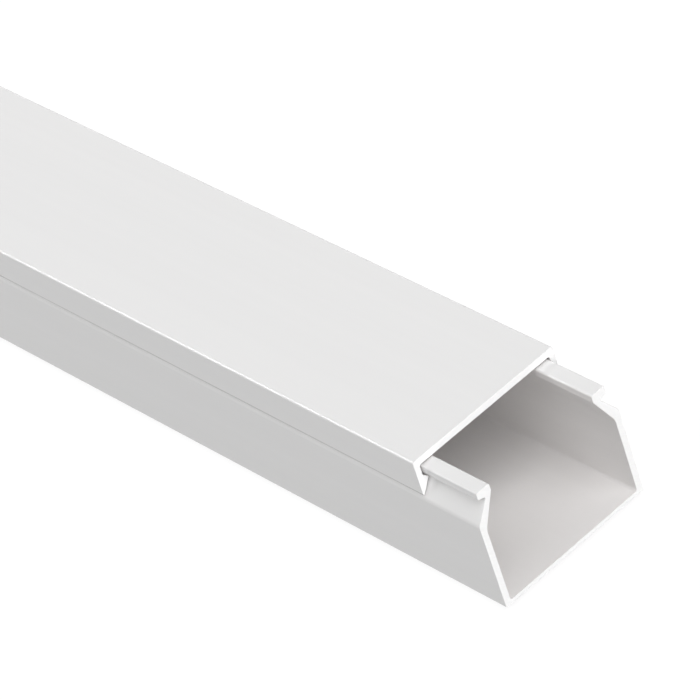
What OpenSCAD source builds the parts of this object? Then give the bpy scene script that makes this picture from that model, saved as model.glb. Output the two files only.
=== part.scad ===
// Self-adhesive cable trunking: a channel that sticks to a wall, and a lid that snaps over its two hooked rails.
// Lengths are in millimetres. X runs along the trunking, Y across it, and Z away from the wall it sticks to.
// The origin is at the middle of the release liner's back, the face that lies on the wall or on a floor.

/* [Trunking] */
// Length of the channel and of its lid, as sold
trunking_length = 1000; // [200:50:2000]
// Outside width of the channel, which the lid is flush with
trunking_width = 25; // [22:0.5:60]
// Height from the back of the channel to the top of the lid
trunking_height = 20; // [14:0.5:60]
// How far the lid is slid back from the front end of the channel
lid_setback = 10; // [0:1:60]

/* [Channel walls] */
// Thickness of the side walls
side_wall = 1; // [0.7:0.05:1.6]
// Thickness of the floor
floor_wall = 0.6; // [0.5:0.05:2]
// Radius of the inside corner between the floor and a side wall
floor_fillet = 0.4; // [0.1:0.05:1]
// Radius of the outside corner along the back of the channel
back_edge_radius = 0.25; // [0.05:0.05:0.6]

/* [Rails] */
// Depth from the top of the lid to the shoulder, where a side wall leans in and becomes a rail
shoulder_depth = 6.2; // [5.6:0.1:9]
// How much lower the shoulder bends on its inside than on its outside
inner_bend_drop = 1.1; // [0.4:0.1:2]
// Radius of the shoulder's outer bend
shoulder_radius = 1.2; // [0.5:0.1:5.5]
// Radius of the shoulder's inner bend
inner_bend_radius = 2.2; // [0.1:0.1:4]
// Thickness of the rail just under its hook, measured level
rail_wall = 1.1; // [0.9:0.05:1.8]
// Radius of the bend on the inside of the rail, level with the underside of its hook
rail_bend_radius = 0.3; // [0.05:0.05:1]

/* [Hooks] */
// How far the hook stands out from the rail under it
hook_reach = 1.2; // [0.8:0.05:1.6]
// Thickness of the hook at its tip
hook_thickness = 1.15; // [0.8:0.05:1.5]
// How much the hook thickens from its tip to the rail
hook_taper = 0.35; // [0.1:0.05:0.6]
// Radius of the hook's tip edges and of the corner under it
hook_edge_radius = 0.2; // [0.05:0.05:0.35]
// Radius of the hook's inner top edge, which cables are pressed past
hook_lead_radius = 0.35; // [0.1:0.05:1]

/* [Lid] */
// Thickness of the lid's top plate
lid_wall = 1.1; // [0.8:0.05:1.6]
// Thickness of the lid's lips
lip_wall = 0.9; // [0.7:0.05:1.3]
// Thickness of the edge that a lip tapers to
lip_edge = 0.2; // [0.15:0.05:0.5]
// Height of the sloping face with which the barb catches under the hook
barb_height = 0.7; // [0.4:0.05:1]
// Radius of the barb's tip
barb_radius = 0.12; // [0.05:0.01:0.2]
// Radius of the lid's outer top edges
lid_edge_radius = 0.4; // [0.1:0.05:0.8]
// Radius of the inside corner between the top plate and a lip
lid_fillet = 0.3; // [0.1:0.05:0.5]

/* [Clearances] */
// Gap between the lid's lips and barbs and the rails they clip over
clip_clearance = 0.2; // [0.1:0.05:0.3]
// Gap between the tops of the hooks and the underside of the lid
seat_gap = 0.3; // [0.1:0.05:0.5]

/* [Adhesive backing] */
// Width of the foam tape
tape_width = 15; // [8:0.5:20]
// Thickness of the foam tape
tape_thickness = 0.8; // [0.5:0.1:2]
// Thickness of the release liner
liner_thickness = 0.12; // [0.05:0.01:0.3]
// How far the release liner stands out past each edge of the tape
liner_margin = 0.5; // [0:0.1:1]
// How far the tape and its liner stop short of each end of the channel
tape_end_gap = 3; // [0:0.5:20]

/* [Hidden] */

// Straight pieces that stand for one rounded corner
arc_steps = 5;
tape_bottom = liner_thickness;
channel_bottom = tape_bottom + tape_thickness;
floor_top = channel_bottom + floor_wall;
lid_top = channel_bottom + trunking_height;
lid_underside = lid_top - lid_wall;

// The faces across the trunking, as distances from its middle
outer_face = trunking_width / 2;
wall_inner_face = outer_face - side_wall;
lip_inner_face = outer_face - lip_wall;
hook_face = lip_inner_face - clip_clearance;
rail_outer_face = hook_face - hook_reach;
rail_inner_face = rail_outer_face - rail_wall;

// The heights of the rail's features
hook_top = lid_underside - seat_gap;
hook_underside = hook_top - hook_thickness;
hook_root = hook_underside - hook_taper;
shoulder = lid_top - shoulder_depth;
inner_bend = shoulder - inner_bend_drop;

// The lip's inside follows the rail's lean at the clip clearance, from the lip's edge up to the barb's tip
lean_per_rise = (outer_face - rail_outer_face) / (hook_root - shoulder);
lean = atan(lean_per_rise);
level_clearance = clip_clearance / cos(lean);
function lip_slope_face(z) = outer_face + level_clearance - (z - shoulder) * lean_per_rise;
lip_bottom = shoulder + (lip_edge + level_clearance) / lean_per_rise;
barb_top = hook_underside - clip_clearance;
barb_tip = barb_top - barb_height;

// A vector of length 1 along v
function unit(v) = v / norm(v);

// The vector v turned by an angle
function turned(v, angle) = [v[0] * cos(angle) - v[1] * sin(angle), v[0] * sin(angle) + v[1] * cos(angle)];

// An arc of radius r that rounds corner b between the corners a and c, using up to half of each edge beside it
function corner_arc(a, b, c, r) =
    let (
        to_a = unit(a - b),
        to_c = unit(c - b),
        half_angle = acos(to_a * to_c) / 2,
        room = min(norm(a - b), norm(c - b)) / 2,
        radius = min(r, room * tan(half_angle)),
        centre = b + unit(to_a + to_c) * radius / sin(half_angle),
        start = b + to_a * radius / tan(half_angle) - centre,
        sweep = sign(cross(to_c, to_a)) * (180 - 2 * half_angle)
    )
    [for (i = [0:arc_steps]) centre + turned(start, sweep * i / arc_steps)];

// A corner [y, z, radius] without its radius
function place(corner) = [corner[0], corner[1]];

// A closed outline from corners, each rounded by its own radius
function rounded(corners) =
    let (n = len(corners))
    [
        for (i = [0:n - 1])
            let (a = corners[(i + n - 1) % n], b = corners[i], c = corners[(i + 1) % n])
            each corner_arc(place(a), place(b), place(c), b[2])
    ];

// The right half's corners, then the same corners mirrored in the trunking's middle
function both_halves(half) =
    concat(half, [for (i = [len(half) - 1:-1:0]) [-half[i][0], half[i][1], half[i][2]]]);

// A section across the trunking, drawn out along it
module extrusion(section, length) {
    rotate([90, 0, 90])
        linear_extrude(height = length, center = true)
            polygon(section);
}

// A flat strip along the back of the trunking, on its middle
module strip(width, bottom, thickness) {
    translate([0, 0, bottom + thickness / 2])
        cube([trunking_length - 2 * tape_end_gap, width, thickness], center = true);
}

// The channel's corners, from the back edge up the outside, over the hook and down the inside to the floor
channel_half = [
    [outer_face, channel_bottom, back_edge_radius],
    [outer_face, shoulder, shoulder_radius],
    [rail_outer_face, hook_root, hook_edge_radius],
    [hook_face, hook_underside, hook_edge_radius],
    [hook_face, hook_top, hook_edge_radius],
    [rail_inner_face, hook_top, hook_lead_radius],
    [rail_inner_face, hook_underside, rail_bend_radius],
    [wall_inner_face, inner_bend, inner_bend_radius],
    [wall_inner_face, floor_top, floor_fillet],
];

// The lid's corners, from the inside of its top plate round the barb and the lip's edge to its top
lid_half = [
    [lip_inner_face, lid_underside, lid_fillet],
    [lip_inner_face, barb_top, barb_radius],
    [lip_slope_face(barb_tip), barb_tip, barb_radius],
    [outer_face - lip_edge, lip_bottom, barb_radius],
    [outer_face, lip_bottom, barb_radius],
    [outer_face, lid_top, lid_edge_radius],
];

module base_channel() {
    color([0.91, 0.91, 0.9])
        extrusion(rounded(both_halves(channel_half)), trunking_length);
}

module lid() {
    color([0.93, 0.93, 0.92])
        translate([-lid_setback, 0, 0])
            extrusion(rounded(both_halves(lid_half)), trunking_length);
}

module adhesive_tape() {
    color([0.85, 0.86, 0.84])
        strip(tape_width, tape_bottom, tape_thickness);
}

module release_liner() {
    color([0.93, 0.88, 0.72])
        strip(tape_width + 2 * liner_margin, 0, liner_thickness);
}

base_channel();
lid();
adhesive_tape();
release_liner();
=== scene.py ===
# %% [markdown]
# # Self-adhesive cable trunking
# Trunking is a plastic channel that hides cables along a wall. This one is drawn out of white PVC in
# two pieces: a channel whose side walls lean in and end in hooked rails, and a lid that snaps over
# them. A strip of foam tape on its back, under a paper liner, sticks it to the wall.
#
# The CAD model holds the pieces at their real size and place, and is loaded first. This lesson models
# each of them again with finer edges, gives it its finish, lights it and looks at it from where the
# photograph was taken.

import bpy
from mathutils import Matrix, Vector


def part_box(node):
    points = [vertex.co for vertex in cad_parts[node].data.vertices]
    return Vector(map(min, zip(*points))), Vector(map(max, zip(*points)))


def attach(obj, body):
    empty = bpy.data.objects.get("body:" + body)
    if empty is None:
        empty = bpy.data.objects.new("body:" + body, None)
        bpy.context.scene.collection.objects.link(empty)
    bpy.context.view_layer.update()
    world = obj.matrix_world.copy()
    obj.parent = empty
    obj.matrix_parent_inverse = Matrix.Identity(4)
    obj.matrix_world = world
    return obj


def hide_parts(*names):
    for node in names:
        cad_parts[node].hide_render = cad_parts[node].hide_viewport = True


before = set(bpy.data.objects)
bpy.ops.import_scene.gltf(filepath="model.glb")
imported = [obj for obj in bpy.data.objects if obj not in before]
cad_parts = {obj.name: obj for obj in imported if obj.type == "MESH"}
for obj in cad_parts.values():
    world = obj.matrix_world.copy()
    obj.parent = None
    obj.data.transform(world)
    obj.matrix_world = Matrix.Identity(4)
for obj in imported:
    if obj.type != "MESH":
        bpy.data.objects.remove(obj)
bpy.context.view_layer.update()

# %% [markdown]
# ## The scene
# A script reaches Blender through bpy, and shapes meshes through bmesh, which has the editor's
# modelling tools as functions. A new mesh, lamp or camera shows only once an object holds it and that
# object is linked to the scene, so one helper does both. The Standard view shows a colour about as it
# is written. A film-like view would grey the whites, and this object is white all over.

# %% The scene
import math

import bmesh
import bpy
from mathutils import Euler, Matrix, Vector, noise

scene = bpy.context.scene
scene.view_settings.view_transform = "Standard"


def put_in_scene(name, data):
    """A new object in the scene, at the origin, that shows this mesh, lamp or camera."""
    thing = bpy.data.objects.new(name, data)
    scene.collection.objects.link(thing)
    return thing


print("view transform:", scene.view_settings.view_transform)

# %% [markdown]
# ## Camera
# The photograph looks down the trunking at its open end through a long lens, with the camera turned
# on its own axis, so that the trunking runs down across the picture. A camera could be nudged until
# it looks right. This one was fitted to the straight edges in the picture instead, which gives its
# place to about a millimetre, and the sizes here are measured from the foot of the open end.

# %% Camera
MM = 0.001
SENSOR_WIDTH = 36.0
LENS = 241.8
CAMERA_AZIMUTH = 59.31
CAMERA_ELEVATION = 37.509
CAMERA_ROLL = -19.397
CAMERA_FROM_OPEN_END = Vector((376.29, -244.81, 385.79)) * MM

channel_low, channel_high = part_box("base_channel")
open_end = Vector((channel_high.x, 0, channel_low.z))

camera_data = bpy.data.cameras.new("photo_camera")
camera_data.sensor_width = SENSOR_WIDTH
camera_data.lens = LENS
camera = put_in_scene("photo_camera", camera_data)
tilt = math.radians(90 - CAMERA_ELEVATION)
turn = math.radians(CAMERA_AZIMUTH)
level_look = Euler((tilt, 0, turn)).to_matrix()
roll = Matrix.Rotation(math.radians(CAMERA_ROLL), 3, "Z")
camera.matrix_world = Matrix.LocRotScale(open_end + CAMERA_FROM_OPEN_END, level_look @ roll, None)
scene.camera = camera
print("camera to open end:", round(CAMERA_FROM_OPEN_END.length / MM), "mm")

# %% [markdown]
# ## The channel's section
# The channel carries the cables. Each side wall stands straight from the floor, leans in at a
# shoulder and ends in a rail with a hook turned outwards, which the lid's barb catches under. Tracing
# the outline point by point would hide how it is made up. Wall thicknesses, reaches and radii are
# named here instead, the overall size comes from the CAD model, and the corners follow from both.

# %% Sizes of the channel
SIDE_WALL = 1.0 * MM
FLOOR_WALL = 0.6 * MM
FLOOR_FILLET = 0.4 * MM
BACK_EDGE_RADIUS = 0.25 * MM
SHOULDER_DEPTH = 6.2 * MM
SHOULDER_RADIUS = 1.2 * MM
INNER_BEND_DROP = 1.1 * MM
INNER_BEND_RADIUS = 2.2 * MM
RAIL_WALL = 1.1 * MM
RAIL_BEND_RADIUS = 0.3 * MM
HOOK_REACH = 1.2 * MM
HOOK_THICKNESS = 1.15 * MM
HOOK_TAPER = 0.35 * MM
HOOK_EDGE_RADIUS = 0.2 * MM
HOOK_LEAD_RADIUS = 0.35 * MM
LIP_WALL = 0.9 * MM
CLIP_CLEARANCE = 0.2 * MM

lid_low, lid_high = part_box("lid")
outer_face = channel_high.y
wall_inner_face = outer_face - SIDE_WALL
lip_inner_face = outer_face - LIP_WALL
hook_face = lip_inner_face - CLIP_CLEARANCE
rail_outer_face = hook_face - HOOK_REACH
rail_inner_face = rail_outer_face - RAIL_WALL
print("room between the rails:", round(2 * rail_inner_face / MM, 2), "mm")

# %% Corners of the channel
channel_bottom = channel_low.z
floor_top = channel_bottom + FLOOR_WALL
hook_top = channel_high.z
hook_underside = hook_top - HOOK_THICKNESS
hook_root = hook_underside - HOOK_TAPER
shoulder = lid_high.z - SHOULDER_DEPTH
inner_bend = shoulder - INNER_BEND_DROP

# Up the outside from the back edge, over the hook, and down the inside to the floor.
channel_half = [
    (outer_face, channel_bottom, BACK_EDGE_RADIUS),
    (outer_face, shoulder, SHOULDER_RADIUS),
    (rail_outer_face, hook_root, HOOK_EDGE_RADIUS),
    (hook_face, hook_underside, HOOK_EDGE_RADIUS),
    (hook_face, hook_top, HOOK_EDGE_RADIUS),
    (rail_inner_face, hook_top, HOOK_LEAD_RADIUS),
    (rail_inner_face, hook_underside, RAIL_BEND_RADIUS),
    (wall_inner_face, inner_bend, INNER_BEND_RADIUS),
    (wall_inner_face, floor_top, FLOOR_FILLET),
]
print("corners in half a channel:", len(channel_half))

# %% [markdown]
# ## Rounding the corners
# The die that plastic is pushed through has no sharp corner, and it is the round edges that catch the
# light. A Bevel modifier would give every corner one width. Here the corners and their mirror images
# become one flat face, and a bevel of each vertex rounds it by its own radius.
#
# A bevel's offset is how far along the edge the arc starts. For a radius r that is r divided by the
# tangent of half the angle between the two edges.

# %% Round the channel's section
ARC_SEGMENTS = 6


def rounded_section(half_section):
    """A bmesh with one flat face: corners (y, z, radius) and their mirror images, all rounded."""
    bm = bmesh.new()
    right = [(bm.verts.new((0, y, z)), radius) for y, z, radius in half_section]
    left = [(bm.verts.new((0, -y, z)), radius) for y, z, radius in reversed(half_section)]
    corners = right + left
    bm.faces.new([corner for corner, radius in corners])
    for corner, radius in corners:
        to_a, to_c = (edge.other_vert(corner).co - corner.co for edge in corner.link_edges)
        reach = radius / math.tan(to_a.angle(to_c) / 2)
        bmesh.ops.bevel(
            bm, geom=[corner], offset=reach, offset_type="OFFSET", affect="VERTICES",
            segments=ARC_SEGMENTS, profile=0.5, material=-1,
        )
    return bm


channel_mesh = rounded_section(channel_half)
print("points round the channel's section:", len(channel_mesh.verts))

# %% [markdown]
# ## Drawing out the length
# Molten plastic leaves the die as one endless strand, so trunking has the same section all along it.
# An array of short lengths would leave joints. The flat face is extruded along X in one go, and the
# new faces are then turned to look outwards.

# %% Draw out the channel
def draw_out(bm, start, end):
    """Extrudes the flat section along X, from start to end."""
    bmesh.ops.translate(bm, verts=bm.verts, vec=(start, 0, 0))
    drawn = bmesh.ops.extrude_face_region(bm, geom=bm.faces[:])
    front = [item for item in drawn["geom"] if isinstance(item, bmesh.types.BMVert)]
    bmesh.ops.translate(bm, verts=front, vec=(end - start, 0, 0))
    bmesh.ops.recalc_face_normals(bm, faces=bm.faces)


draw_out(channel_mesh, channel_low.x, channel_high.x)
print("channel's volume:", round(channel_mesh.calc_volume() / MM**3), "cubic mm")

# %% [markdown]
# ## Sawing the ends
# The strand is sawn to lengths. A saw leaves an edge that is almost sharp, but no real edge is quite
# sharp: both ends get a hair of a bevel, which catches light as a cut edge does. The end faces are
# marked, because a sawn face has a finish of its own.

# %% Saw the channel's ends
SAWN_EDGE = 0.06 * MM
# A face is an end if at least this much of its normal lies along X.
END_NORMAL = 0.99
SKIN, SAWN = 0, 1


def is_end(face):
    """Whether a face looks along the trunking."""
    return abs(face.normal.x) > END_NORMAL


def saw_ends(bm):
    """Breaks the edges of the two sawn ends, and marks the end faces for a finish of their own."""
    rims = [edge for face in bm.faces if is_end(face) for edge in face.edges]
    bmesh.ops.bevel(
        bm, geom=rims, offset=SAWN_EDGE, offset_type="OFFSET", affect="EDGES",
        segments=2, profile=0.5, material=-1, clamp_overlap=True,
    )
    bm.normal_update()
    for face in bm.faces:
        face.material_index = SAWN if is_end(face) else SKIN


saw_ends(channel_mesh)
print("sawn faces:", sum(face.material_index == SAWN for face in channel_mesh.faces))

# %% [markdown]
# ## Outside and inside
# While the strand is still soft, cold metal plates size it from outside and leave a satin gloss. The
# inside touches nothing and cools slowly in the air, so it stays duller. It is also coloured a touch
# warmer, as painted shade. Its faces could be picked by hand. A rule is shorter: a face is inside if it
# looks towards the middle of the cable space, which the sign of a dot product tells.

# %% Mark the channel's inside
INSIDE = 2
cable_space_middle = Vector((0, 0, (floor_top + hook_top) / 2))


def mark_inside(bm):
    """Marks the faces of the skin that look towards the middle of the cable space."""
    for face in bm.faces:
        to_middle = cable_space_middle - face.calc_center_median()
        to_middle.x = 0
        if face.material_index == SKIN and face.normal.dot(to_middle) > 0:
            face.material_index = INSIDE


mark_inside(channel_mesh)
print("inside faces:", sum(face.material_index == INSIDE for face in channel_mesh.faces))

# %% [markdown]
# ## From a mesh to a piece
# Smooth shading blends the direction of light across every edge, and on a wide flat face beside a
# small round edge that would show as a dull gradient. A Weighted Normal modifier lets the large faces
# decide, so flats stay flat and only the round edges turn. The piece then takes the place of its CAD
# node and rides on that node's body, so the lid can slide and the rest stays.

# %% Channel
SHARP_ANGLE = math.radians(40)


def make_piece(name, bm, body, node):
    """A piece from a bmesh, which rides on a CAD body and replaces its node."""
    mesh = bpy.data.meshes.new(name)
    bm.to_mesh(mesh)
    bm.free()
    mesh.shade_smooth()
    mesh.set_sharp_from_angle(angle=SHARP_ANGLE)
    piece = put_in_scene(name, mesh)
    weighted = piece.modifiers.new("flat_faces_stay_flat", "WEIGHTED_NORMAL")
    weighted.weight = 100
    weighted.keep_sharp = True
    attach(piece, body)
    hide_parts(node)
    size = [round(side / MM, 2) for side in piece.dimensions]
    print(name, "has", len(mesh.polygons), "faces and measures", size, "mm")
    return piece


channel = make_piece("trunking_channel", channel_mesh, "channel", "base_channel")

# %% [markdown]
# ## The lid
# The lid is a flat plate with two short lips. The inside of a lip follows the lean of the rail, so
# the lid centres itself, and swells to a barb that snaps under the hook. It is slid back a little
# from the channel's end, which lets the rails show. It comes from a die as the channel does, so the
# same steps make it: corners, bevels, one extrusion and two saw cuts.

# %% Corners of the lid
LID_WALL = 1.1 * MM
LIP_EDGE = 0.2 * MM
BARB_HEIGHT = 0.7 * MM
BARB_RADIUS = 0.12 * MM
LID_EDGE_RADIUS = 0.4 * MM
LID_FILLET = 0.3 * MM

lean = math.atan2(outer_face - rail_outer_face, hook_root - shoulder)
level_clearance = CLIP_CLEARANCE / math.cos(lean)
lid_top = lid_high.z
lid_underside = lid_top - LID_WALL
lip_bottom = lid_low.z
barb_top = hook_underside - CLIP_CLEARANCE
barb_tip = barb_top - BARB_HEIGHT
barb_face = outer_face + level_clearance - (barb_tip - shoulder) * math.tan(lean)

# From the inside of the top plate, round the barb and the lip's edge, and up to the top.
lid_half = [
    (lip_inner_face, lid_underside, LID_FILLET),
    (lip_inner_face, barb_top, BARB_RADIUS),
    (barb_face, barb_tip, BARB_RADIUS),
    (outer_face - LIP_EDGE, lip_bottom, BARB_RADIUS),
    (outer_face, lip_bottom, BARB_RADIUS),
    (outer_face, lid_top, LID_EDGE_RADIUS),
]
print("the barb reaches", round((hook_face - barb_face) / MM, 2), "mm under the hook")

# %% Lid
lid_mesh = rounded_section(lid_half)
draw_out(lid_mesh, lid_low.x, lid_high.x)
saw_ends(lid_mesh)
mark_inside(lid_mesh)
lid = make_piece("trunking_lid", lid_mesh, "cover", "lid")

# %% [markdown]
# ## The foam tape
# Double-sided foam tape is slit from a wide roll with a knife, so its edges wander a little and its
# cells stand open there. A box would look machined. A cube is stretched to the tape's size, cut into
# short steps along its length, and its two long sides are pushed in and out by smooth noise.

# %% A strip
STRIP_STEPS = 320
# Weights that put places in order along the strip first, then across it and up.
PLACE_ORDER = Vector((1.0, 0.1, 0.037))


def long_edges(bm):
    """The edges that run along the trunking."""
    return [edge for edge in bm.edges if abs(edge.verts[0].co.x - edge.verts[1].co.x) > MM]


def strip(low, high, edge_radius):
    """A bmesh strip between two corners, with rounded long edges, cut into steps along X."""
    bm = bmesh.new()
    bmesh.ops.create_cube(bm, size=1)
    bmesh.ops.scale(bm, vec=high - low, verts=bm.verts)
    bmesh.ops.translate(bm, vec=(low + high) / 2, verts=bm.verts)
    bmesh.ops.bevel(
        bm, geom=long_edges(bm), offset=edge_radius, offset_type="OFFSET", affect="EDGES",
        segments=3, profile=0.5, material=-1,
    )
    bmesh.ops.subdivide_edges(bm, edges=long_edges(bm), cuts=STRIP_STEPS, use_grid_fill=True)
    # The new faces come in no fixed order. Sorted by place, they make the same mesh on every run.
    bm.faces.sort(key=lambda face: face.calc_center_median().dot(PLACE_ORDER))
    return bm


tape_low, tape_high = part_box("adhesive_tape")
print("a step of the tape is", round((tape_high - tape_low).x / (STRIP_STEPS + 1) / MM, 1), "mm long")

# %% Foam tape
TAPE_EDGE_RADIUS = 0.12 * MM
TAPE_WANDER = 0.15 * MM
WANDER_PER_METRE = 90

tape_mesh = strip(tape_low, tape_high, TAPE_EDGE_RADIUS)
for vert in tape_mesh.verts:
    side = math.copysign(1, vert.co.y)
    wander = noise.noise(Vector((vert.co.x * WANDER_PER_METRE, side, 0)))
    vert.co.y += wander * TAPE_WANDER
tape = make_piece("foam_tape", tape_mesh, "channel", "adhesive_tape")

# %% [markdown]
# ## The release liner
# The liner is silicone-coated paper, a little wider than the tape so that a fingernail finds its
# edge. Where the tape doesn't hold it, the paper lifts slightly. Cloth simulation could lift it, but
# the margin is only half a millimetre wide. The strip helper makes the paper, two cuts mark where the
# tape ends, and noise that grows towards the edge lifts the margins.

# %% Release liner
LINER_EDGE_RADIUS = 0.02 * MM
LINER_LIFT = 0.18 * MM
LIFT_PER_METRE = 35
LIFT_NOISE_LAYER = 7

liner_low, liner_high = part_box("release_liner")
liner_mesh = strip(liner_low, liner_high, LINER_EDGE_RADIUS)
for tape_edge in (tape_low.y, tape_high.y):
    bmesh.ops.bisect_plane(
        liner_mesh, geom=liner_mesh.verts[:] + liner_mesh.edges[:] + liner_mesh.faces[:],
        plane_co=(0, tape_edge, 0), plane_no=(0, 1, 0),
    )
margin = liner_high.y - tape_high.y
for vert in liner_mesh.verts:
    past_tape = max(0, (abs(vert.co.y) - tape_high.y) / margin)
    side = math.copysign(1, vert.co.y)
    swell = 0.5 + 0.5 * noise.noise(Vector((vert.co.x * LIFT_PER_METRE, side, LIFT_NOISE_LAYER)))
    vert.co.z += past_tape * swell * LINER_LIFT
liner = make_piece("release_liner_paper", liner_mesh, "channel", "release_liner")

# %% [markdown]
# ## The skin of an extrusion
# The skin of extruded plastic isn't perfectly even: the die, the cooling and the plastic's own grain
# all leave marks on it. The channel and the lid share these marks, and each material could have its
# own nodes for them. A node group is built once and placed in each material with its own values,
# through sockets that have names.

# %% An empty group for the skin
def add_node(tree, kind, inputs=None, **settings):
    """A new node with these settings. An input is linked if it is a socket, and set if it is a value."""
    node = tree.nodes.new(kind)
    for name, value in settings.items():
        setattr(node, name, value)
    for name, value in (inputs or {}).items():
        if isinstance(value, bpy.types.NodeSocket):
            tree.links.new(value, node.inputs[name])
        else:
            node.inputs[name].default_value = value
    return node


def new_group(name, inputs, outputs):
    """An empty shader node group with named sockets: its tree, its input node and its output node."""
    tree = bpy.data.node_groups.new(name, "ShaderNodeTree")
    for socket, kind in inputs.items():
        tree.interface.new_socket(socket, in_out="INPUT", socket_type=kind)
    for socket, kind in outputs.items():
        tree.interface.new_socket(socket, in_out="OUTPUT", socket_type=kind)
    return tree, tree.nodes.new("NodeGroupInput"), tree.nodes.new("NodeGroupOutput")


skin_tree, skin_in, skin_out = new_group(
    "extruded_skin",
    {
        "Place": "NodeSocketVector",
        "Colour": "NodeSocketColor",
        "Shade": "NodeSocketColor",
        "Smoothest": "NodeSocketFloat",
        "Roughest": "NodeSocketFloat",
    },
    {"Colour": "NodeSocketColor", "Roughness": "NodeSocketFloat", "Height": "NodeSocketFloat"},
)
print("sockets of extruded_skin:", [socket.name for socket in skin_tree.interface.items_tree])

# %% [markdown]
# ## Lines, bands and grain
# The die leaves faint lines that run the whole length, cooling leaves broad bands that shine a little
# more or less, and close up the surface has a fine grain. A photographed texture would need a map of
# every face. Noise needs none: with few cycles to the metre along X and many across, it follows the
# extrusion on every side.

# %% Die lines, cooling bands and grain
DIE_LINES = (2.0, 900.0, 900.0)
COOLING_BANDS = (1.0, 140.0, 140.0)
SKIN_GRAIN = (1600.0, 1600.0, 1600.0)
DIE_LINES_IN_STREAKS = 0.35


def stretched_noise(tree, place, cycles_per_metre, detail):
    """Noise with this many cycles to the metre along X, Y and Z."""
    mapping = add_node(tree, "ShaderNodeMapping", {"Vector": place, "Scale": cycles_per_metre})
    made = add_node(
        tree, "ShaderNodeTexNoise",
        {"Vector": mapping.outputs["Vector"], "Scale": 1.0, "Detail": detail},
    )
    return made.outputs["Fac"]


def blended(tree, first, second, first_share):
    """This share of the first value, and the rest of the second."""
    rest = add_node(tree, "ShaderNodeMath", {0: second, 1: 1.0 - first_share}, operation="MULTIPLY")
    whole = add_node(
        tree, "ShaderNodeMath",
        {0: first, 1: first_share, 2: rest.outputs["Value"]}, operation="MULTIPLY_ADD",
    )
    return whole.outputs["Value"]


place = skin_in.outputs["Place"]
die_lines = stretched_noise(skin_tree, place, DIE_LINES, detail=3.0)
bands = stretched_noise(skin_tree, place, COOLING_BANDS, detail=2.0)
grain = stretched_noise(skin_tree, place, SKIN_GRAIN, detail=1.0)
streaks = blended(skin_tree, die_lines, bands, DIE_LINES_IN_STREAKS)
print("a die line is about", round(1 / DIE_LINES[1] / MM, 1), "mm wide")

# %% [markdown]
# ## Colour, shine and relief
# One streak shows in three ways on real plastic: where it is a shade darker it is also a little
# duller, and stands a little higher. Three textures would contradict each other, so the same noises
# make all three. The group puts out a colour, a roughness and a height, and the shader itself stays
# in the material, where an export can read it.

# %% Colour, shine and relief of the skin
# A Mix node has a row of sockets for each kind of value. These are the places of its colour sockets.
MIX_SHARE, MIX_FIRST, MIX_SECOND, MIX_RESULT = 0, 6, 7, 2
# Noise could be anything from 0 to 1, but nearly all of it lies between these two.
NOISE_LOW, NOISE_HIGH = 0.3, 0.7
GRAIN_IN_SHINE = 0.3
DIE_LINES_IN_RELIEF = 0.75


def ranged(tree, value, low, high, from_low=NOISE_LOW, from_high=NOISE_HIGH):
    """The value, with the range from_low to from_high carried over to the range low to high."""
    node = add_node(
        tree, "ShaderNodeMapRange",
        {"Value": value, "From Min": from_low, "From Max": from_high, "To Min": low, "To Max": high},
    )
    return node.outputs["Result"]


def mixed_colour(tree, share, first, second):
    """The first colour where share is 0, and the second where it is 1."""
    node = add_node(
        tree, "ShaderNodeMix",
        {MIX_SHARE: share, MIX_FIRST: first, MIX_SECOND: second}, data_type="RGBA",
    )
    return node.outputs[MIX_RESULT]


shade_share = ranged(skin_tree, streaks, 0.0, 1.0)
tint = mixed_colour(skin_tree, shade_share, skin_in.outputs["Colour"], skin_in.outputs["Shade"])
dullness = blended(skin_tree, grain, streaks, GRAIN_IN_SHINE)
shine = ranged(skin_tree, dullness, skin_in.outputs["Smoothest"], skin_in.outputs["Roughest"])
relief = blended(skin_tree, die_lines, grain, DIE_LINES_IN_RELIEF)
skin_tree.links.new(tint, skin_out.inputs["Colour"])
skin_tree.links.new(shine, skin_out.inputs["Roughness"])
skin_tree.links.new(relief, skin_out.inputs["Height"])
print("nodes of extruded_skin:", len(skin_tree.nodes))

# %% [markdown]
# ## White PVC
# Trunking is white rigid PVC with a satin gloss, as the die leaves it. A plain white shader would look
# like plaster. The Principled shader gets its colour, roughness and bump from the skin group, and the
# refractive index of PVC gives the weight of its reflections. The two pieces come from two dies, so
# each has the pattern shifted to a place of its own.

# %% A material and what it wears
def new_material(name):
    """A material, its node tree and its Principled shader."""
    material = bpy.data.materials.new(name)
    material.use_nodes = True
    return material, material.node_tree, material.node_tree.nodes["Principled BSDF"]


def place_on_piece(tree):
    """Where a point lies, in metres from the origin of its piece."""
    return add_node(tree, "ShaderNodeTexCoord").outputs["Object"]


def dress(tree, shader, tone, roughness, height, relief_depth):
    """Gives a shader its colour, its roughness, and a bump of this depth where the height is 1."""
    bump = add_node(tree, "ShaderNodeBump", {"Strength": 1.0, "Distance": relief_depth, "Height": height})
    tree.links.new(tone, shader.inputs["Base Color"])
    tree.links.new(roughness, shader.inputs["Roughness"])
    tree.links.new(bump.outputs["Normal"], shader.inputs["Normal"])


SKIN_RELIEF = 0.006 * MM
print("the skin's lines are up to", round(SKIN_RELIEF / MM, 3), "mm deep")

# %% Plastic skin on the channel and the lid
PLASTIC = (0.858, 0.854, 0.852, 1.0)
PLASTIC_SHADE = (0.838, 0.834, 0.832, 1.0)
SATIN = (0.2, 0.265)
PLASTIC_IOR = 1.53
CHANNEL_PATTERN_SHIFT = (0.0, 0.0, 0.0)
LID_PATTERN_SHIFT = (0.3, 0.07, 0.05)


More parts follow.
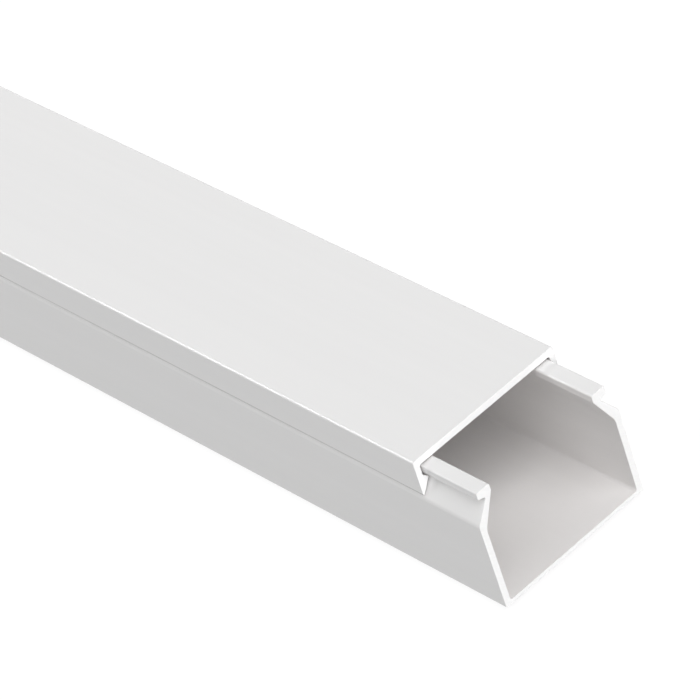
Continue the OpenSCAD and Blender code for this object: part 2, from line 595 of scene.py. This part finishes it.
def plastic_skin(name, pattern_shift, colour, shade, smoothest, roughest):
    """PVC as it leaves the die. The shift moves the lines, so that two pieces don't share them."""
    material, tree, shader = new_material(name)
    shifted = add_node(
        tree, "ShaderNodeMapping", {"Vector": place_on_piece(tree), "Location": pattern_shift}
    )
    skin = add_node(
        tree, "ShaderNodeGroup",
        {
            "Place": shifted.outputs["Vector"],
            "Colour": colour,
            "Shade": shade,
            "Smoothest": smoothest,
            "Roughest": roughest,
        },
        node_tree=skin_tree,
    )
    dress(
        tree, shader, skin.outputs["Colour"], skin.outputs["Roughness"], skin.outputs["Height"],
        SKIN_RELIEF,
    )
    shader.inputs["IOR"].default_value = PLASTIC_IOR
    return material


channel.data.materials.append(
    plastic_skin("channel_plastic_skin", CHANNEL_PATTERN_SHIFT, PLASTIC, PLASTIC_SHADE, *SATIN)
)
lid.data.materials.append(
    plastic_skin("lid_plastic_skin_painted_seam_shade", LID_PATTERN_SHIFT, PLASTIC, PLASTIC_SHADE, *SATIN)
)
print("skins:", channel.data.materials[SKIN].name, lid.data.materials[SKIN].name)

# %% [markdown]
# ## Sawn ends
# A saw tears plastic more than it cuts it, so the ends are paler and duller than the skin, with fine
# strokes that lie side by side. Their colour is also paler than sawing alone would make it, a painted
# highlight that whitens the ends. Grooves could be cut in the mesh, but they are too fine to see one by
# one. Noise that is stretched along the strokes gives the tone, the roughness and the bump together,
# and both pieces wear this finish on the faces that were marked as sawn.

# %% Sawn ends
# Painted highlight: the sawn colours are paler than sawing alone makes them, to whiten the ends.
SAWN_PLASTIC_PAINTED_HIGHLIGHT = (0.94, 0.938, 0.936, 1.0)
SAWN_STROKES_PAINTED_HIGHLIGHT = (0.915, 0.913, 0.911, 1.0)
SAWN_ROUGHNESS = (0.5, 0.7)
SAW_STROKES = (300.0, 350.0, 5200.0)
SAW_TILT = (math.radians(35), 0.0, 0.0)
SAW_RELIEF = 0.012 * MM

sawn_plastic_painted_highlight, tree, shader = new_material("sawn_plastic_painted_highlight")
tilted = add_node(tree, "ShaderNodeMapping", {"Vector": place_on_piece(tree), "Rotation": SAW_TILT})
strokes = stretched_noise(tree, tilted.outputs["Vector"], SAW_STROKES, detail=2.0)
sawn_tone_painted_highlight = mixed_colour(tree, ranged(tree, strokes, 0.0, 1.0), SAWN_PLASTIC_PAINTED_HIGHLIGHT, SAWN_STROKES_PAINTED_HIGHLIGHT)
dress(tree, shader, sawn_tone_painted_highlight, ranged(tree, strokes, *SAWN_ROUGHNESS), strokes, SAW_RELIEF)
shader.inputs["IOR"].default_value = PLASTIC_IOR
for piece in (channel, lid):
    piece.data.materials.append(sawn_plastic_painted_highlight)
print("sawn finish:", channel.data.materials[SAWN].name)

# %% [markdown]
# ## The dull inside
# The inside has the same plastic and the same lines from the die. It could have nodes of its own, but
# the skin group serves again, because only its values differ: a rougher surface, and a colour a touch
# darker and warmer that paints the warm shade of the channel's depth. Light that bounces about between
# the walls picks that warmth up each time, so the depth renders warmer still.

# %% Dull inside
# Painted shade: the inside's colours are a touch darker and warmer than the outside's, for the warm shade
# in the channel's depth.
INSIDE_PLASTIC_PAINTED_SHADE = (0.86, 0.842, 0.834, 1.0)
INSIDE_STREAKS_PAINTED_SHADE = (0.84, 0.822, 0.814, 1.0)
DULL = (0.4, 0.55)
INSIDE_PATTERN_SHIFT = (0.6, 0.0, 0.0)

inside_plastic_painted_shade = plastic_skin(
    "inside_skin_painted_shade", INSIDE_PATTERN_SHIFT, INSIDE_PLASTIC_PAINTED_SHADE, INSIDE_STREAKS_PAINTED_SHADE, *DULL
)
for piece in (channel, lid):
    piece.data.materials.append(inside_plastic_painted_shade)
    print(piece.name, "has the finishes", [material.name for material in piece.data.materials])

# %% [markdown]
# ## The painted shade along the seam
# The lid's lips end just above the channel's shoulders, and a fine slit stays open there. A thin grey
# line along the free edge of a lip paints the shade in that slit, and on white plastic that line is
# what makes the seam show. A strip of mesh in another colour would end too sharply. The height above
# the edge fades the painted shade out, and noise along the length makes it a little uneven.

# %% Painted seam shade on the lid
# Painted shade: a grey line along the lip's lower edge stands for the shade in the slit between lid and
# channel.
SEAM_PAINTED_SHADE = (0.5, 0.495, 0.49, 1.0)
SEAM_SHADE_FULL = lip_bottom + 0.17 * MM
SEAM_SHADE_GONE = lip_bottom + 0.34 * MM
SEAM_SHADE_PATCHES = (60.0, 200.0, 200.0)
SEAM_SHADE_COVER = (0.65, 1.0)

tree = lid.data.materials[SKIN].node_tree
shader = tree.nodes["Principled BSDF"]
place_on_lid = place_on_piece(tree)
height = add_node(tree, "ShaderNodeSeparateXYZ", {"Vector": place_on_lid})
near_edge = ranged(tree, height.outputs["Z"], 1.0, 0.0, SEAM_SHADE_FULL, SEAM_SHADE_GONE)
shade_patches = stretched_noise(tree, place_on_lid, SEAM_SHADE_PATCHES, detail=2.0)
cover = ranged(tree, shade_patches, *SEAM_SHADE_COVER)
seam_shade = add_node(tree, "ShaderNodeMath", {0: near_edge, 1: cover}, operation="MULTIPLY")
tone_before_seam_shade = shader.inputs["Base Color"].links[0].from_socket
tone_with_painted_seam_shade = mixed_colour(tree, seam_shade.outputs["Value"], tone_before_seam_shade, SEAM_PAINTED_SHADE)
tree.links.new(tone_with_painted_seam_shade, shader.inputs["Base Color"])
# The painted seam shade fades out this far above the lip's edge.
print("seam dust fades out", round((SEAM_SHADE_GONE - lip_bottom) / MM, 2), "mm above the lip's edge")

# %% [markdown]
# ## Foam
# The tape is closed-cell foam. Its cut sides show cells of about a third of a millimetre. Modelled one
# by one they would be millions of faces. A cellular texture divides space into such cells, and the
# distance from a cell's middle gives the tone and the bump: the walls between the cells are a little
# darker than the hollows, and stand higher.

# %% Foam
FOAM = (0.8, 0.81, 0.79, 1.0)
FOAM_CELL_WALL = (0.62, 0.63, 0.61, 1.0)
FOAM_ROUGHNESS = (0.75, 0.9)
FOAM_CELLS_PER_METRE = 3000.0
FOAM_RELIEF = 0.08 * MM
CELL_HOLLOW, CELL_WALL = 0.2, 0.8

tape_foam, tree, shader = new_material("tape_foam")
cells = add_node(
    tree, "ShaderNodeTexVoronoi", {"Vector": place_on_piece(tree), "Scale": FOAM_CELLS_PER_METRE}
)
from_middle = cells.outputs["Distance"]
wall_share = ranged(tree, from_middle, 0.0, 1.0, CELL_HOLLOW, CELL_WALL)
foam_tone = mixed_colour(tree, wall_share, FOAM, FOAM_CELL_WALL)
foam_roughness = ranged(tree, from_middle, *FOAM_ROUGHNESS, CELL_HOLLOW, CELL_WALL)
dress(tree, shader, foam_tone, foam_roughness, from_middle, FOAM_RELIEF)
tape.data.materials.append(tape_foam)
print("a foam cell is about", round(1 / FOAM_CELLS_PER_METRE / MM, 2), "mm wide")

# %% [markdown]
# ## Liner paper
# Release paper is a dense, honey-coloured sheet with a thin silicone coat. Fibres show as short,
# faint flecks along the web, over clouds where the sheet is a little thicker. A scan of such paper
# would repeat along a metre of it. Two noises don't: one stretched along the strip makes the fibres,
# and a round one the clouds.

# %% Liner paper
LINER_PAPER = (0.86, 0.78, 0.56, 1.0)
LINER_FLECK = (0.78, 0.69, 0.47, 1.0)
LINER_ROUGHNESS = (0.3, 0.5)
PAPER_FIBRES = (350.0, 2400.0, 2400.0)
PAPER_CLOUDS = (160.0, 160.0, 160.0)
FIBRES_IN_FLECKS = 0.6
PAPER_RELIEF = 0.01 * MM

liner_paper, tree, shader = new_material("liner_paper")
place_on_liner = place_on_piece(tree)
fibres = stretched_noise(tree, place_on_liner, PAPER_FIBRES, detail=3.0)
clouds = stretched_noise(tree, place_on_liner, PAPER_CLOUDS, detail=2.0)
flecks = blended(tree, fibres, clouds, FIBRES_IN_FLECKS)
paper_tone = mixed_colour(tree, ranged(tree, flecks, 0.0, 1.0), LINER_PAPER, LINER_FLECK)
dress(tree, shader, paper_tone, ranged(tree, flecks, *LINER_ROUGHNESS), fibres, PAPER_RELIEF)
liner.data.materials.append(liner_paper)
print("a fibre is about", round(1 / PAPER_FIBRES[0] / MM, 1), "mm long")

# %% [markdown]
# ## Floor
# The trunking lies on a sheet of white paper. A studio bends the sheet up behind its subject, so that
# no edge shows. A flat grid of one face does the same here: it reaches far past the view, and what
# lies beyond it is just as white. It lies a hair under the liner, since two faces in one plane would
# show through each other. It belongs to the stage, not to the object.

# %% Floor
FLOOR_HALF_SIZE = 30.0
FLOOR_DROP = 0.05 * MM

floor_mesh = bmesh.new()
bmesh.ops.create_grid(floor_mesh, x_segments=1, y_segments=1, size=FLOOR_HALF_SIZE)
bmesh.ops.translate(floor_mesh, verts=floor_mesh.verts, vec=(0, 0, liner_low.z - FLOOR_DROP))
floor_data = bpy.data.meshes.new("floor")
floor_mesh.to_mesh(floor_data)
floor_mesh.free()
floor = put_in_scene("floor", floor_data)
print("floor's size in metres:", [round(side) for side in floor.dimensions])

# %% [markdown]
# ## Floor paper
# The photograph's background is pure white. More light would burn the trunking out, so the floor is
# made white only for the rays that come straight from the camera, or by way of a shiny or clear
# surface. It keeps some of its own shading for them, so the trunking's shadow stays. Other rays meet
# plain paper. A little of the light that it sends up is lamp light thrown back, and most of it shines
# through as on a light table, so that the trunking's back is lit as well. Seen from below the floor
# is clear, so that the back can be looked at.

# %% Rays that are seen
def seen_ray(tree):
    """1 for a ray from the camera, or from a shiny or clear surface, and 0 for any other ray."""
    path = add_node(tree, "ShaderNodeLightPath")
    shiny_or_clear = add_node(
        tree, "ShaderNodeMath",
        {0: path.outputs["Is Glossy Ray"], 1: path.outputs["Is Transmission Ray"]}, operation="MAXIMUM",
    )
    seen = add_node(
        tree, "ShaderNodeMath",
        {0: path.outputs["Is Camera Ray"], 1: shiny_or_clear.outputs["Value"]}, operation="MAXIMUM",
    )
    return seen.outputs["Value"]


def lit_paper(tree, colour, glow):
    """Dull paper of this colour, with this much light that shines through it."""
    dull = add_node(tree, "ShaderNodeBsdfDiffuse", {"Color": colour})
    light = add_node(tree, "ShaderNodeEmission", {"Strength": glow})
    paper = add_node(tree, "ShaderNodeAddShader", {0: dull.outputs["BSDF"], 1: light.outputs["Emission"]})
    return paper.outputs["Shader"]


floor_paper = bpy.data.materials.new("floor_paper")
floor_paper.use_nodes = True
floor.data.materials.append(floor_paper)
print("the floor wears", floor.data.materials[0].name)

# %% Floor paper
FLOOR_COLOUR = (0.1, 0.1, 0.1, 1.0)
FLOOR_LIT_THROUGH = 0.28
FLOOR_SEEN = (0.2, 0.2, 0.2, 1.0)
FLOOR_GLOW = 0.86

tree = floor_paper.node_tree
tree.nodes.clear()
plain = lit_paper(tree, FLOOR_COLOUR, FLOOR_LIT_THROUGH)
white = lit_paper(tree, FLOOR_SEEN, FLOOR_GLOW)
by_ray = add_node(tree, "ShaderNodeMixShader", {0: seen_ray(tree), 1: plain, 2: white})
clear = add_node(tree, "ShaderNodeBsdfTransparent")
from_below = add_node(tree, "ShaderNodeNewGeometry").outputs["Backfacing"]
by_side = add_node(
    tree, "ShaderNodeMixShader",
    {0: from_below, 1: by_ray.outputs["Shader"], 2: clear.outputs["BSDF"]},
)
add_node(tree, "ShaderNodeOutputMaterial", {"Surface": by_side.outputs["Shader"]})
print("floor_paper nodes:", len(tree.nodes))

# %% [markdown]
# ## Surroundings
# A studio has pale walls all round, which fill the shadows softly. The world stands for them: a plain
# even light for the trunking, and pure white where a ray looks straight at it, as for the floor. A
# sky or a picture of a room would tint white plastic.

# %% World
AMBIENT = 0.13
WHITE = (1.0, 1.0, 1.0, 1.0)

world = bpy.data.worlds.new("studio")
scene.world = world
world.use_nodes = True
tree = world.node_tree
tree.nodes.clear()
ambient = add_node(tree, "ShaderNodeBackground", {"Color": WHITE, "Strength": AMBIENT})
backdrop = add_node(tree, "ShaderNodeBackground", {"Color": WHITE, "Strength": 1.0})
by_ray = add_node(
    tree, "ShaderNodeMixShader",
    {0: seen_ray(tree), 1: ambient.outputs["Background"], 2: backdrop.outputs["Background"]},
)
add_node(tree, "ShaderNodeOutputWorld", {"Surface": by_ray.outputs["Shader"]})
print("even light from all round:", AMBIENT)

# %% [markdown]
# ## Lamps
# Trunking is a metre long, and a lamp that stands near it would light one end more than the other.
# Sun lamps have no such fall-off, and a wide angle makes a sun as soft as a large softbox. One stands
# low before the open end: it whitens the sawn ends, and only grazes the walls and the floor inside, so
# the depth stays dark. One lights the lid from above, one the near side and one the far side, and a
# narrow strip draws the bright line along the edges between the top and the near side. A level of 1
# lights a face that looks straight at the lamp to its own colour.

# %% Lamps
def softbox(name, towards, width_degrees, level):
    """A sun in this direction from the trunking, as wide as this many degrees of the sky."""
    lamp = bpy.data.lights.new(name, "SUN")
    lamp.angle = math.radians(width_degrees)
    lamp.energy = level * math.pi
    sun = put_in_scene(name, lamp)
    sun.rotation_mode = "QUATERNION"
    sun.rotation_quaternion = Vector(towards).to_track_quat("Z", "Y")
    print(name, "at level", level)


softbox("front_softbox", towards=(0.985, -0.138, 0.105), width_degrees=20, level=0.55)
softbox("top_softbox", towards=(0.5, 0.0, 0.866), width_degrees=40, level=0.455)
softbox("near_side_softbox", towards=(0.22, -0.604, 0.766), width_degrees=60, level=0.205)
softbox("far_side_softbox", towards=(-0.085, 0.974, 0.208), width_degrees=60, level=0.33)
softbox("edge_strip", towards=(-0.702, -0.492, 0.515), width_degrees=8, level=0.225)
